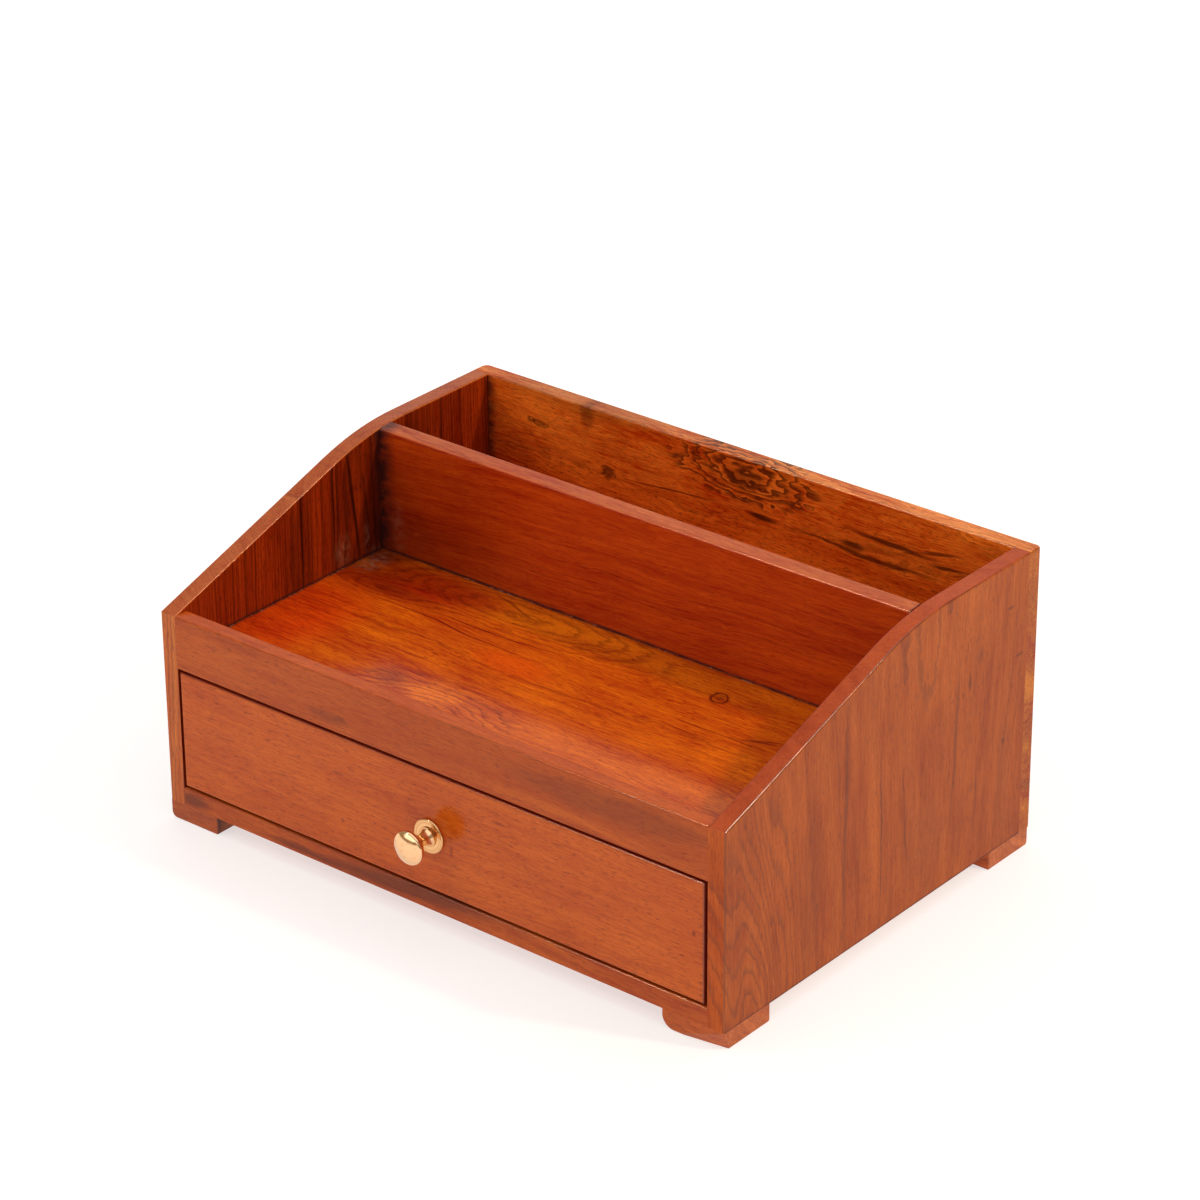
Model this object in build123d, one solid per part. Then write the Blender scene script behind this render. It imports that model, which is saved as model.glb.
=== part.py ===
from build123d import *

import os
from math import atan2, cos, sin, tan

# Whole body, in millimetres
body_width = 356.0
body_depth = 250.0
body_height = 166.0
front_height = 117.0
foot_height = 10.0

# Side view: the slope runs up from the front and turns level over a long, gentle shoulder
slope_run = 147.0
shoulder_radius = 166.0

# Boards of the carcass
side_thickness = 10.0
back_thickness = 10.0
divider_thickness = 9.5
divider_setback = 154.0
rail_thickness = 9.0
rail_height = 29.0
lower_rail_height = 10.0
lower_rail_depth = 30.0
floor_thickness = 7.0
tray_lip = 20.5
bottom_thickness = 5.0
housing_depth = 3.0
glue_gap = 0.05
edge_round = 1.2
rear_corner_rounds = {"left": 4.0, "right": 2.5}

# Strips that carry the drawer and keep it from tipping
runner_height = 3.0
runner_width = 14.0
kicker_width = 10.0

# Feet: each block's width along the front and its depth along the side
foot_width = 32.0
front_right_foot_width = 37.0
foot_depth = 36.0
foot_sharp_round = 0.8
foot_soft_round = 3.5
foot_curved_end = 7.0
foot_back_round = 2.0

# The nearest foot's lower corner is worn away along the front, back from it and up it
foot_wear_run = 28.0
foot_wear_depth = 4.3

# Drawer, inset and flush with the front. Its front board reaches past the left side of its box.
drawer_side_gap = 2.1
drawer_front_left_gap = 0.9
drawer_top_gap = 1.8
drawer_bottom_gap = 1.2
drawer_front_thickness = 12.0
drawer_side_thickness = 8.0
drawer_back_thickness = 8.0
drawer_bottom_thickness = 4.0
drawer_bottom_rise = 4.0
drawer_groove_depth = 4.0
drawer_lap = 7.0
drawer_edge_round = 1.5
running_gap = 0.3
stop_gap = 0.3
kick_gap = 0.5

# Brass knob on its rosette, measured outwards from the drawer front. It sits a little left of the middle.
knob_x = -1.5
knob_drop = 2.1
knob_reach = 19.0
knob_head_radius = 9.0
knob_rim_reach = 15.4
knob_rim_thickness = 1.4
knob_crown_radius = 8.1
knob_neck_radius = 3.2
knob_neck_reach = 6.6
knob_foot_radius = 4.4
knob_shoulder_radius = 4.8
knob_shoulder_reach = 10.8
knob_belly_radius = 7.9
knob_belly_reach = 13.0
knob_bore_depth = 9.0
rosette_radius = 9.2
rosette_thickness = 1.6
rosette_round = 0.7
rosette_boss_radius = 5.2
rosette_boss_height = 0.7

# Screw and washer that hold the knob from inside the drawer
knob_screw_radius = 2.0
knob_screw_head_radius = 4.0
knob_screw_head_height = 2.6
knob_screw_bite = 7.5
washer_radius = 5.0
washer_thickness = 0.8
slot_width = 0.9
slot_depth = 1.1

# Wooden dowels between the side panels and the boards across them
dowel_radius = 2.5
dowel_length = 22.0
dowel_in_side = 6.0
lower_rail_dowel_inset = 9.0
divider_dowel_count = 3
divider_dowel_inset = 12.0

# Countersunk wood screws
wood_screw_radius = 1.3
wood_screw_head_radius = 2.6
wood_screw_head_height = 1.7
wood_screw_tip = 2.5
back_screw_length = 30.0
back_screw_inset = 18.0
back_screw_edge = 6.6

# Thin nails: those that hold the drawer box together, and those up through the feet
nail_radius = 0.7
nail_head_radius = 1.3
nail_head_height = 0.6
brad_length = 18.0
brad_edge = 14.0
brad_front_inset = 3.5
foot_nail_length = 16.0
foot_nail_setback = 15.0
foot_nail_end = 8.0
foot_nail_inset = 22.0

# All round pieces lie this far from the hole around them
hole_clearance = 0.05

# Planes that the pieces share. The origin is under the middle of the whole object, knob included.
outer_x = body_width / 2
inner_x = outer_x - side_thickness
front_y = (knob_reach - body_depth) / 2
back_y = front_y + body_depth
back_face_y = back_y - back_thickness
rail_back_y = front_y + rail_thickness
divider_y = front_y + divider_setback
rail_bottom_z = front_height - rail_height
floor_top_z = front_height - tray_lip
floor_bottom_z = floor_top_z - floor_thickness
lower_rail_top_z = foot_height + lower_rail_height
bottom_top_z = lower_rail_top_z - runner_height
bottom_bottom_z = bottom_top_z - bottom_thickness
lower_rail_back_y = front_y + lower_rail_depth
side_middle_x = outer_x - side_thickness / 2

drawer_x = inner_x - drawer_side_gap
drawer_front_bottom_z = lower_rail_top_z + drawer_bottom_gap
drawer_top_z = rail_bottom_z - drawer_top_gap
drawer_side_bottom_z = lower_rail_top_z + running_gap
drawer_rear_y = back_face_y - stop_gap
drawer_lap_y = front_y + drawer_front_thickness - drawer_lap
drawer_inside_y = front_y + drawer_front_thickness
drawer_bottom_z = drawer_side_bottom_z + drawer_bottom_rise
knob_z = (drawer_front_bottom_z + drawer_top_z) / 2 - knob_drop

SIDES = {"left": -1, "right": 1}
MIDDLE_MIN = (Align.CENTER, Align.CENTER, Align.MIN)


def block(low, high):
    """Square-edged board between its lowest and highest corners."""
    size = [b - a for a, b in zip(low, high)]
    middle = [(a + b) / 2 for a, b in zip(low, high)]
    return Pos(*middle) * Box(*size)


def grown(low, high, gap):
    """Block that is larger by a gap on every face, as the housing that takes a board."""
    return block([a - gap for a in low], [b + gap for b in high])


def mirrored_block(side, low, high):
    """Block given on the right-hand side, or its mirror image on the left."""
    x_ends = sorted((side * low[0], side * high[0]))
    return block((x_ends[0], *low[1:]), (x_ends[1], *high[1:]))


def rod(start, direction, radius, length):
    """Round bar from a point along a direction."""
    return Plane(origin=start, z_dir=direction) * Cylinder(radius, length, align=MIDDLE_MIN)


def wood_screw(start, direction, length, extra=0.0):
    """Countersunk screw from the middle of its head, or with extra the hole that takes it."""
    shank_length = length - wood_screw_tip
    head = Cone(
        wood_screw_head_radius + extra,
        wood_screw_radius + extra,
        wood_screw_head_height + extra,
        align=MIDDLE_MIN,
    )
    shank = Cylinder(wood_screw_radius + extra, shank_length, align=MIDDLE_MIN)
    tip = Pos(0, 0, shank_length) * Cone(
        wood_screw_radius + extra,
        extra,
        wood_screw_tip + extra,
        align=MIDDLE_MIN,
    )
    screw = head + shank + tip
    if not extra:
        screw -= Box(2 * wood_screw_head_radius, slot_width, 2 * slot_depth)
    return Plane(origin=start, z_dir=direction) * screw


def nail(start, direction, length, extra=0.0):
    """Thin nail from the top of its head, or with extra the hole that takes it."""
    head = Cylinder(nail_head_radius + extra, nail_head_height + extra, align=MIDDLE_MIN)
    shank = Cylinder(nail_radius + extra, length + extra, align=MIDDLE_MIN)
    return Plane(origin=start, z_dir=direction) * (head + shank)


def body_profile():
    """Side view of the carcass in front of the back panel."""
    slope_angle = atan2(body_height - front_height, slope_run)
    tangent = shoulder_radius * tan(slope_angle / 2)
    apex_y = front_y + slope_run
    slope_top = (apex_y - tangent * cos(slope_angle), body_height - tangent * sin(slope_angle))
    level_start = (apex_y + tangent, body_height)
    corners = [(front_y, foot_height), (front_y, front_height)]
    rear = [(back_face_y, body_height), (back_face_y, foot_height)]
    outline = [
        Line(corners[0], corners[1]),
        Line(corners[1], slope_top),
        TangentArc(slope_top, level_start, tangent=(cos(slope_angle), sin(slope_angle))),
        Line(level_start, rear[0]),
        Line(rear[0], rear[1]),
        Line(rear[1], corners[0]),
    ]
    return Plane.YZ * make_face(Curve() + outline)


def profile_slab(x_from, x_to):
    """The carcass's side view as a slab between two places along its width."""
    return Pos(x_from, 0, 0) * extrude(body_profile(), x_to - x_from, dir=(1, 0, 0))


# Boards that lie in housings: lowest corner, highest corner
floor_box = (
    (-inner_x - housing_depth, rail_back_y - housing_depth, floor_bottom_z),
    (inner_x + housing_depth, back_face_y + housing_depth, floor_top_z),
)
bottom_box = (
    (-inner_x - housing_depth, lower_rail_back_y - housing_depth, bottom_bottom_z),
    (inner_x + housing_depth, back_face_y + housing_depth, bottom_top_z),
)
drawer_bottom_box = (
    (
        -drawer_x + drawer_side_thickness - drawer_groove_depth,
        drawer_inside_y - drawer_groove_depth,
        drawer_bottom_z,
    ),
    (
        drawer_x - drawer_side_thickness + drawer_groove_depth,
        drawer_rear_y - drawer_back_thickness + drawer_groove_depth,
        drawer_bottom_z + drawer_bottom_thickness,
    ),
)


def dowels(extra=0.0):
    """Dowels from both side panels into the rails and the divider, or the holes for them."""
    lower_z = foot_height + lower_rail_height / 2
    places = [
        (front_y + rail_thickness / 2, (floor_top_z + front_height) / 2),
        (front_y + lower_rail_dowel_inset, lower_z),
        (lower_rail_back_y - lower_rail_dowel_inset, lower_z),
    ]
    divider_low = floor_top_z + divider_dowel_inset
    divider_step = (body_height - divider_dowel_inset - divider_low) / divider_dowel_count
    for index in range(divider_dowel_count):
        places.append((divider_y + divider_thickness / 2, divider_low + index * divider_step))
    start_x = inner_x + dowel_in_side + extra
    return [
        rod((side * start_x, y, z), (-side, 0, 0), dowel_radius + extra, dowel_length + 2 * extra)
        for side in SIDES.values()
        for y, z in places
    ]


def back_screws(extra=0.0):
    """Screws through the back panel into the rear edges of the side panels, or their holes."""
    heights = (
        bottom_top_z + back_screw_inset,
        floor_bottom_z - back_screw_inset,
        floor_top_z + back_screw_inset,
        body_height - back_screw_inset,
    )
    return [
        wood_screw((side * (outer_x - back_screw_edge), back_y, z), (0, -1, 0), back_screw_length, extra)
        for side in SIDES.values()
        for z in heights
    ]


def foot_nails(extra=0.0):
    """Two nails up through each foot: one into the side panel, one into the board across."""
    cross_x = outer_x - foot_nail_inset
    right_places = [
        (side_middle_x, front_y + foot_depth - foot_nail_end),
        (cross_x, front_y + foot_nail_setback),
        (side_middle_x, back_y - foot_depth + foot_nail_end),
        (cross_x, back_y - back_thickness / 2),
    ]
    return [
        nail((side * x, y, 0), (0, 0, 1), foot_nail_length, extra)
        for side in SIDES.values()
        for x, y in right_places
    ]


def brads(extra=0.0):
    """Nails through the drawer sides into the front's rebate shoulders and the back, or their holes."""
    heights = (drawer_side_bottom_z + brad_edge, drawer_top_z - brad_edge)
    lines = (drawer_lap_y + brad_front_inset, drawer_rear_y - drawer_back_thickness / 2)
    return [
        nail((side * drawer_x, y, z), (-side, 0, 0), brad_length, extra)
        for side in SIDES.values()
        for y in lines
        for z in heights
    ]


def side_panel(side):
    """Side board with eased top and front edges, grooved for the tray floor and the bottom."""
    x_ends = sorted((side * inner_x, side * outer_x))
    panel = profile_slab(*x_ends)
    faces = panel.faces().sort_by(Axis.X)
    outer, inner = (faces[-1], faces[0]) if side > 0 else (faces[0], faces[-1])

    def is_upper(edge):
        middle = edge.center()
        return middle.Z > front_height / 2 + foot_height and middle.Y < back_face_y - glue_gap

    def is_front(edge):
        return edge.center().Y < front_y + glue_gap

    eased = [edge for edge in outer.edges() if is_upper(edge) or is_front(edge)]
    eased += [edge for edge in inner.edges() if is_upper(edge) and not is_front(edge)]
    panel = fillet(eased, edge_round)
    housings = [grown(*floor_box, glue_gap), grown(*bottom_box, glue_gap)]
    fastenings = dowels(hole_clearance) + back_screws(hole_clearance) + foot_nails(hole_clearance)
    return panel - housings - fastenings


def back_panel():
    """Board across the whole rear, behind the side panels."""
    panel = block((-outer_x, back_face_y, foot_height), (outer_x, back_y, body_height))
    for name, side in SIDES.items():
        corner = panel.edges().sort_by_distance((side * outer_x, back_y, body_height / 2))[0]
        panel = fillet(corner, rear_corner_rounds[name])
    panel = fillet(panel.edges().group_by(Axis.Z)[-1], edge_round)
    housings = [grown(*floor_box, glue_gap), grown(*bottom_box, glue_gap)]
    return panel - housings - back_screws(hole_clearance) - foot_nails(hole_clearance)


def divider():
    """Board between the front tray and the rear compartment, its top shaped with the sides."""
    low = (-inner_x, divider_y, floor_top_z)
    high = (inner_x, divider_y + divider_thickness, body_height)
    board = profile_slab(-inner_x, inner_x) & block(low, high)
    along = board.edges().filter_by(Axis.X)
    top = [edge for edge in along if edge.center().Z > floor_top_z + divider_thickness]
    board = fillet(top, edge_round)
    return board - dowels(hole_clearance)


def front_rail():
    """Low rail in front of the tray, above the drawer."""
    low = (-inner_x, front_y, rail_bottom_z)
    high = (inner_x, rail_back_y, front_height)
    rail = block(low, high)
    rail = fillet(rail.edges().filter_by(Axis.X).group_by(Axis.Z)[-1], edge_round)
    return rail - grown(*floor_box, glue_gap) - dowels(hole_clearance)


def lower_front_rail():
    """Rail under the drawer, in front of the bottom panel."""
    low = (-inner_x, front_y, foot_height)
    high = (inner_x, lower_rail_back_y, lower_rail_top_z)
    rail = block(low, high)
    front_edges = rail.edges().filter_by(Axis.X).group_by(Axis.Y)[0]
    rail = fillet(front_edges.sort_by(Axis.Z)[-1], edge_round)
    cuts = dowels(hole_clearance) + foot_nails(hole_clearance)
    return rail - grown(*bottom_box, glue_gap) - cuts


def drawer_runner(side):
    """Strip on the bottom panel that the drawer's side slides on, level with the lower rail."""
    return mirrored_block(
        side,
        (inner_x - runner_width, lower_rail_back_y, bottom_top_z),
        (inner_x, back_face_y, lower_rail_top_z),
    )


def drawer_kicker(side):
    """Strip under the tray floor that keeps the open drawer from tipping."""
    return mirrored_block(
        side,
        (inner_x - kicker_width, rail_back_y, drawer_top_z + kick_gap),
        (inner_x, back_face_y, floor_bottom_z),
    )


def foot(side, end, width, outer_round, inner_round, face_round, depth_round):
    """Foot block flush with the body's corner. Each round is that of one lower edge."""
    y_outer = front_y if end < 0 else back_y
    y_inner = y_outer - end * foot_depth
    y_ends = sorted((y_outer, y_inner))
    low = (outer_x - width, y_ends[0], 0)
    high = (outer_x, y_ends[1], foot_height)
    piece = mirrored_block(side, low, high)

    def lower_edge(axis, sort_axis, index):
        return piece.edges().group_by(Axis.Z)[0].filter_by(axis).sort_by(sort_axis)[index]

    outer_index, inner_index = (-1, 0) if side > 0 else (0, -1)
    piece = fillet(lower_edge(Axis.Y, Axis.X, inner_index), inner_round)
    piece = fillet(lower_edge(Axis.Y, Axis.X, outer_index), outer_round)
    face_index, depth_index = (0, -1) if end < 0 else (-1, 0)
    piece = fillet(lower_edge(Axis.X, Axis.Y, face_index), face_round)
    piece = fillet(lower_edge(Axis.X, Axis.Y, depth_index), depth_round)
    return piece - foot_nails(hole_clearance)


def worn(foot_block):
    """The nearest foot with its lower outer corner worn to a slant."""
    start = Vector(outer_x, front_y, foot_height)
    along = Vector(outer_x - foot_wear_run, front_y, 0)
    behind = Vector(outer_x, front_y + foot_wear_depth, 0)
    outward = (along - start).cross(behind - start)
    return split(foot_block, bisect_by=Plane(origin=start, z_dir=outward), keep=Keep.BOTTOM)


def drawer_front():
    """Front board with a rebate at each end for the drawer side and a groove for the bottom.

    Its left end stands out past the drawer side, so the gap beside it is narrow.
    """
    low = (drawer_front_left_gap - inner_x, front_y, drawer_front_bottom_z)
    high = (drawer_x, drawer_inside_y, drawer_top_z)
    board = block(low, high)
    board = fillet(board.faces().sort_by(Axis.Y)[0].edges(), drawer_edge_round)
    rebates = [
        mirrored_block(
            side,
            (drawer_x - drawer_side_thickness, drawer_lap_y, lower_rail_top_z),
            (outer_x, drawer_inside_y, rail_bottom_z),
        )
        for side in SIDES.values()
    ]
    screw_hole = rod(
        (knob_x, front_y, knob_z), (0, 1, 0), knob_screw_radius + hole_clearance, drawer_front_thickness
    )
    cuts = rebates + [grown(*drawer_bottom_box, glue_gap), screw_hole] + brads(hole_clearance)
    return board - cuts


def drawer_side(side):
    """Side of the drawer box, from the front's rebate to the rear."""
    board = mirrored_block(
        side,
        (drawer_x - drawer_side_thickness, drawer_lap_y, drawer_side_bottom_z),
        (drawer_x, drawer_rear_y, drawer_top_z),
    )
    return board - grown(*drawer_bottom_box, glue_gap) - brads(hole_clearance)


def drawer_back():
    """Back of the drawer box, between its sides."""
    x = drawer_x - drawer_side_thickness
    low = (-x, drawer_rear_y - drawer_back_thickness, drawer_side_bottom_z)
    board = block(low, (x, drawer_rear_y, drawer_top_z))
    return board - grown(*drawer_bottom_box, glue_gap) - brads(hole_clearance)


def knob_axis_plane():
    """Plane on the drawer front at the knob, with its normal pointing out of the drawer."""
    return Plane(origin=(knob_x, front_y, knob_z), x_dir=(1, 0, 0), z_dir=(0, -1, 0))


def turned(outline):
    """Solid turned about the knob's axis from an outline of reach and radius."""
    section = make_face(Curve() + outline)
    upright = revolve(section, Axis.X)
    return knob_axis_plane() * Rot(0, -90, 0) * upright


def knob():
    """Mushroom knob: waisted stem under a flattened round head, bored for its screw."""
    stem_reach = rosette_thickness + rosette_boss_height
    rim_front = knob_rim_reach + knob_rim_thickness
    outline = [
        Line((stem_reach, 0), (stem_reach, knob_foot_radius)),
        ThreePointArc(
            (stem_reach, knob_foot_radius),
            (knob_neck_reach, knob_neck_radius),
            (knob_shoulder_reach, knob_shoulder_radius),
        ),
        ThreePointArc(
            (knob_shoulder_reach, knob_shoulder_radius),
            (knob_belly_reach, knob_belly_radius),
            (knob_rim_reach, knob_head_radius),
        ),
        TangentArc(
            (knob_rim_reach, knob_head_radius), (rim_front, knob_crown_radius), tangent=(1, 0)
        ),
        TangentArc((knob_reach, 0), (rim_front, knob_crown_radius), tangent=(0, 1)),
        Line((knob_reach, 0), (stem_reach, 0)),
    ]
    bore = rod(
        (knob_x, front_y - stem_reach, knob_z),
        (0, -1, 0),
        knob_screw_radius + hole_clearance,
        knob_bore_depth,
    )
    return turned(outline) - bore


def knob_rosette():
    """Round plate between the knob and the drawer front, with a low boss under the stem."""
    plane = knob_axis_plane()
    plate = Cylinder(rosette_radius, rosette_thickness, align=MIDDLE_MIN)
    plate = fillet(plate.edges().sort_by(Axis.Z)[-1], rosette_round)
    boss_height = rosette_thickness + rosette_boss_height
    boss = Cylinder(rosette_boss_radius, boss_height, align=MIDDLE_MIN)
    hole = Cylinder(knob_screw_radius + hole_clearance, boss_height, align=MIDDLE_MIN)
    return plane * (plate + boss - hole)


def knob_washer():
    """Washer under the screw's head, inside the drawer."""
    ring = Cylinder(washer_radius, washer_thickness, align=MIDDLE_MIN)
    ring -= Cylinder(knob_screw_radius + hole_clearance, washer_thickness, align=MIDDLE_MIN)
    return Plane(origin=(knob_x, drawer_inside_y, knob_z), z_dir=(0, 1, 0)) * ring


def knob_screw():
    """Round-headed screw through the washer, drawer front and rosette into the knob."""
    head_y = drawer_inside_y + washer_thickness
    boss_y = front_y - rosette_thickness - rosette_boss_height
    head = Cylinder(knob_screw_head_radius, knob_screw_head_height, align=MIDDLE_MIN)
    head = fillet(head.edges().sort_by(Axis.Z)[-1], knob_screw_head_height / 2)
    slot = Box(2 * knob_screw_head_radius, slot_width, 2 * slot_depth)
    head -= Pos(0, 0, knob_screw_head_height) * slot
    placed_head = Plane(origin=(knob_x, head_y, knob_z), z_dir=(0, 1, 0)) * head
    shank_length = head_y - boss_y + knob_screw_bite
    return placed_head + rod((knob_x, head_y, knob_z), (0, -1, 0), knob_screw_radius, shank_length)


def collect():
    """Every piece by its node's name."""
    sharp = foot_sharp_round
    pieces = {
        "back_panel": back_panel(),
        "divider": divider(),
        "tray_floor": block(*floor_box),
        "front_rail": front_rail(),
        "lower_front_rail": lower_front_rail(),
        "bottom_panel": block(*bottom_box),
        "front_left_foot": foot(-1, -1, foot_width, foot_soft_round, sharp, sharp, sharp),
        "front_right_foot": worn(
            foot(1, -1, front_right_foot_width, sharp, foot_curved_end, sharp, foot_back_round)
        ),
        "rear_left_foot": foot(-1, 1, foot_width, sharp, sharp, foot_soft_round, sharp),
        "rear_right_foot": foot(1, 1, foot_width, sharp, sharp, foot_soft_round, sharp),
        "drawer_front": drawer_front(),
        "drawer_back": drawer_back(),
        "drawer_bottom": block(*drawer_bottom_box),
        "knob": knob(),
        "knob_rosette": knob_rosette(),
        "knob_washer": knob_washer(),
        "knob_screw": knob_screw(),
        "carcass_dowels": Compound(dowels()),
        "back_panel_screws": Compound(back_screws()),
        "foot_nails": Compound(foot_nails()),
        "drawer_brads": Compound(brads()),
    }
    for name, side in SIDES.items():
        pieces[f"{name}_side_panel"] = side_panel(side)
        pieces[f"{name}_drawer_runner"] = drawer_runner(side)
        pieces[f"{name}_drawer_kicker"] = drawer_kicker(side)
        pieces[f"drawer_{name}_side"] = drawer_side(side)
    return pieces


os.makedirs("parts", exist_ok=True)
for node, shape in collect().items():
    export_step(shape, f"parts/{node}.step")
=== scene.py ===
"""Looks of a small teak desk organizer with one drawer, laid out as an add-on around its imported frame.

X runs to the organizer's right, Y to its back and Z up, in metres. Patterns in the wood are in millimetres.
"""

import math
from dataclasses import dataclass

import bmesh
import bpy
from bpy.props import FloatProperty, FloatVectorProperty, PointerProperty
from mathutils import Matrix, Vector


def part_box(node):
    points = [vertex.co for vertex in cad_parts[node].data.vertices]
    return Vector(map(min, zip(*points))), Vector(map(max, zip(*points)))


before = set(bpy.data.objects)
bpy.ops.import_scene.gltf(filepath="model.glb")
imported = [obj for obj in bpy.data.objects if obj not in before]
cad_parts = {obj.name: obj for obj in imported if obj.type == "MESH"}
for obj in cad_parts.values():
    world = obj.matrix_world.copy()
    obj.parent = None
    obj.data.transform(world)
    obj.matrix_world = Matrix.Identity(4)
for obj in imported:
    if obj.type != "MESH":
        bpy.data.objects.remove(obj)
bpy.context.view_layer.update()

bl_info = {
    "name": "Teak desk organizer",
    "version": (1, 0, 0),
    "blender": (4, 5, 0),
    "location": "3D View > Sidebar > Organizer",
    "description": "Wood, brass and steel finishes of a desk organizer with a drawer, and its studio",
    "category": "Object",
}

MM = 0.001
THROUGH = 1000.0  # a mark goes through the whole board, in millimetres
WINDOW_AHEAD = (-0.09, -0.995, 0.0)  # the direction from the organizer to the window
REDDER = (1.15, 0.4, 0.4)  # how a redder patch tints the stain


# Colours and small helpers


def linear(code):
    """The linear colour of an sRGB hex code."""
    channels = [int(code[i : i + 2], 16) / 255 for i in (1, 3, 5)]
    return tuple(c / 12.92 if c <= 0.04045 else ((c + 0.055) / 1.055) ** 2.4 for c in channels)


def colour(name, code, description):
    """A colour setting whose default is an sRGB hex code."""
    return FloatVectorProperty(
        name=name, default=linear(code), description=description, subtype="COLOR", min=0, max=1
    )


def share(name, value, description):
    """A setting from nothing to one."""
    return FloatProperty(name=name, default=value, min=0, max=1, subtype="FACTOR", description=description)


# Sockets of a mix of colours, and a value that goes softly from one range to another
FACTOR, BELOW, ABOVE, MIXED = 0, 6, 7, 2
SOFT = {"interpolation_type": "SMOOTHSTEP"}


def add(tree, kind, inputs=(), take=0, **settings):
    """Adds a node, sets it, and feeds its inputs by order or by name. Gives one output, or the node."""
    node = tree.nodes.new("ShaderNode" + kind)
    for name, value in settings.items():
        setattr(node, name, value)
    pairs = inputs.items() if isinstance(inputs, dict) else enumerate(inputs)
    for key, value in pairs:
        socket = node.inputs[key]
        if isinstance(value, bpy.types.NodeSocket):
            tree.links.new(value, socket)
        else:
            socket.default_value = (*value, 1.0) if socket.type == "RGBA" else value
    return node if take is None else node.outputs[take]


def layered(tree, colour_below, layers):
    """Colours laid in turn over the one below, each by its share. A tint multiplies what it lies on."""
    for part, tint, blend in layers:
        inputs = {FACTOR: part, BELOW: colour_below, ABOVE: tint}
        colour_below = add(tree, "Mix", inputs, take=MIXED, data_type="RGBA", blend_type=blend)
    return colour_below


def new_material(name):
    """An empty node material and its tree."""
    material = bpy.data.materials.new(name)
    material.use_nodes = True
    material.node_tree.nodes.clear()
    return material, material.node_tree


def surface(tree, inputs):
    """Closes a material with one shader that covers the whole surface."""
    shader = add(tree, "BsdfPrincipled", inputs)
    add(tree, "OutputMaterial", {"Surface": shader}, take=None)


# How the boards were cut


@dataclass
class Mark:
    """A knot, swirl or streak in a board."""

    along: float  # its place on the fibre axis and across the face, in the part's frame
    across: float
    length: float  # half its length along the fibres and half its width
    width: float
    heart: float = 0.0  # how dark its middle is, or how bright where it is under zero
    rings: float = 0.0  # how many year rings bulge round it, and how dark their lines are
    line: float = 0.0
    dust: float = 0.0  # how much pale dust lies on it
    red: float = 0.0  # how much redder the stain is
    turn: float = 0.0  # degrees


@dataclass
class Cut:
    """How one board lay in its log, in millimetres."""

    along: str = "X"  # the axis that the fibres follow, and the axis across the wide face
    across: str = "Z"
    pith: tuple = (60.0, 90.0)  # the log's centre from the board's middle, across the face and through it
    ring: float = 4.0  # mean width of a year ring
    run_out: float = 0.03  # how fast the rings leave the face along the board
    sway: float = 10.0  # long bends of the log
    ripple: float = 1.5  # short waves in the rings
    ragged: float = 0.3  # how far the ring lines wander, as a share of a ring
    lines: float = 0.4  # how dark the ring lines are
    plain: float = 2.5  # how few of the ring lines stand out
    thick: float = 0.45  # the share of a ring that its line takes
    bands: float = 0.4  # how much the rings differ in tone
    fibres: float = 0.5  # how strong the fine streaks and the coarse ones are
    streaks: float = 0.3
    mottle: float = 0.4  # how strong the soft patches of stain are
    pores: float = 0.5  # how dark the open pores are
    rub_or_highlight: float = 0.4  # how dark the eased edges are where stain gathers, or, under zero, how light they are: a painted highlight of the edges catching the light
    shine: float = 1.0  # its share of the clear coat, and of the thicker coat on its eased edges
    gleam: float = 1.0
    slope: float = 0.0  # degrees that the fibres lean across the face
    seed: float = 0.0
    marks: tuple = ()
    seams_and_shade: tuple = ()  # lines along the joints with grime and thick lacquer, the wider ones painted shade in inside corners: axis, place, reach and strength
    inside: tuple = ()  # the direction of the only face with seams
    dusty: float = 0.0  # how much pale dust the seams hold
    linings: tuple = ()  # directions, and the stain of each face that looks that way


def middle(node):
    """The middle of a node's box, in metres."""
    low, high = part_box(node)
    return (low + high) / 2


def patches(tree, place, size, seed, detail=2.0, take="Fac"):
    """Random soft patches of about that size, in millimetres."""
    moved = {"Vector": place, "Location": (seed, seed * 0.7, -seed), "Scale": tuple(1 / s for s in size)}
    scaled = add(tree, "Mapping", moved)
    return add(tree, "TexNoise", {"Vector": scaled, "Scale": 1.0, "Detail": detail}, take=take)


def board_axes(cut):
    """The axes along the fibres, across the face and through the board."""
    return cut.along, cut.across, next(axis for axis in "XYZ" if axis not in (cut.along, cut.across))


def board_place(tree, cut, centre):
    """The place in the board: along the fibres, across the face and through it, in millimetres."""
    axes = add(tree, "SeparateXYZ", [add(tree, "TexCoord", take="Object")], take=None).outputs
    spot = dict(zip("XYZ", centre))
    inputs = {
        "Vector": add(tree, "CombineXYZ", [axes[axis] for axis in board_axes(cut)]),
        "Location": tuple(spot[axis] for axis in board_axes(cut)),
        "Rotation": (0.0, 0.0, math.radians(cut.slope)),
        "Scale": (MM, MM, MM),
    }
    return add(tree, "Mapping", inputs, vector_type="TEXTURE")


def bent(tree, place, cut):
    """The place moved by the log's long bends and short waves."""
    for size, reach, seed in (((150, 45, 45), cut.sway, 1.3), ((22, 6, 6), cut.ripple, 5.1)):
        lean = patches(tree, place, size, cut.seed + seed, take="Color")
        centred = add(tree, "VectorMath", [lean, (0.5, 0.5, 0.5)], operation="SUBTRACT")
        reaches = (0.0, reach * 2, reach * 2)
        place = add(tree, "VectorMath", [centred, reaches, place], operation="MULTIPLY_ADD")
    return place


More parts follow.
